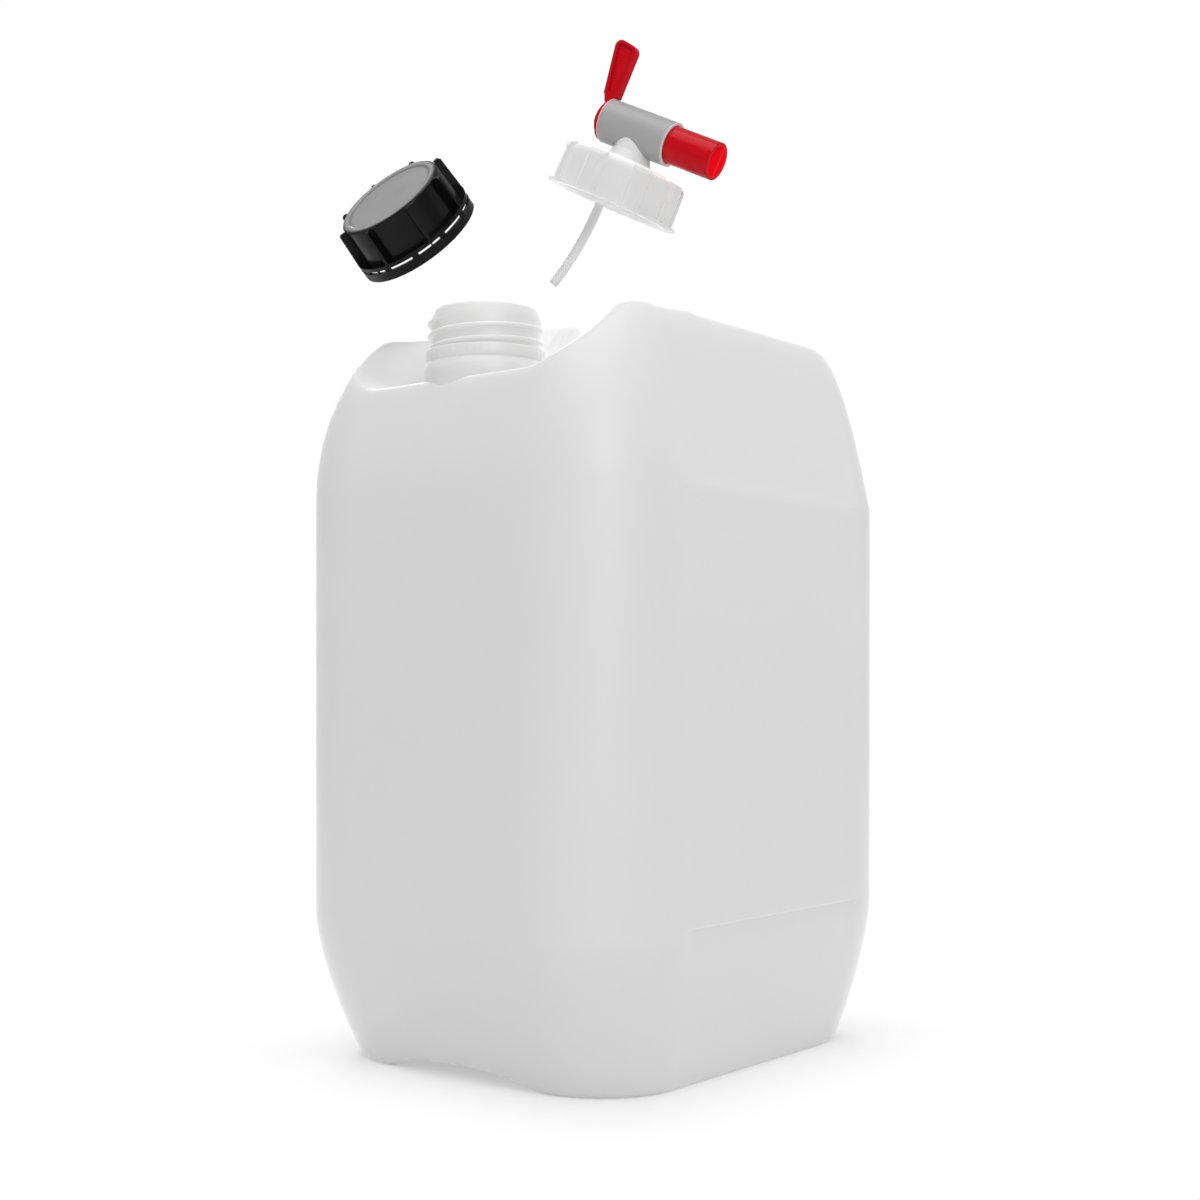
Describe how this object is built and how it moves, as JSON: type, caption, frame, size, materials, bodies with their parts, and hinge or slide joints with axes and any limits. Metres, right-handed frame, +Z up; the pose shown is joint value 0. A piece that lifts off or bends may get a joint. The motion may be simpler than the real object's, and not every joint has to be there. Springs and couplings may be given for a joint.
{
  "type": "detergent dispenser bottle",
  "caption": "Ten-litre stackable plastic jerrycan with a sunk neck and a top bar handle, with its ribbed tamper-evident screw cap and a swivel dispensing tap shown off the neck.",
  "frame": {"origin": "middle of the container's footprint, on the surface that it stands on", "axes": "+Z up, -Y towards the neck, +X to the container's right as seen from the handle towards the neck's back"},
  "size_m": [0.19, 0.226, 0.4518],
  "materials": {
    "can": "natural translucent polyethylene",
    "cap_black": "satin",
    "cap_grey": "matt",
    "tap_white": "natural translucent",
    "gasket": "matt",
    "tap_red": "gloss",
    "tube": "translucent"
  },
  "bodies": {
    "container": {"bottle": "can"},
    "cap": {"cap_shell": "cap_black", "cap_band": "cap_black", "cap_liner": "cap_grey"},
    "tap": {"tap_body": "tap_white", "nut_gasket": "gasket", "air_tube": "tube"},
    "union_nut": {"tap_nut": "tap_white"},
    "spindle": {"tap_spindle": "tap_red"}
  },
  "joints": [
    {"name": "cap_lift", "type": "slide", "parent": "container", "child": "cap", "axis": [0, 0, 1], "range_m": [0, 0.06]},
    {"name": "tap_lift", "type": "slide", "parent": "container", "child": "tap", "axis": [0, 0, 1], "range_m": [0, 0.06]},
    {"name": "nut_swivel", "type": "hinge", "parent": "tap", "child": "union_nut", "pos_m": [0.0134, -0.0099, 0.3789], "axis": [0.4277, 0.0886, 0.8996], "continuous": true},
    {"name": "lever_turn", "type": "hinge", "parent": "tap", "child": "spindle", "pos_m": [0.02803, -0.00687, 0.40967], "axis": [0.8809, 0.1824, -0.4368], "range_deg": [0, 90]}
  ]
}
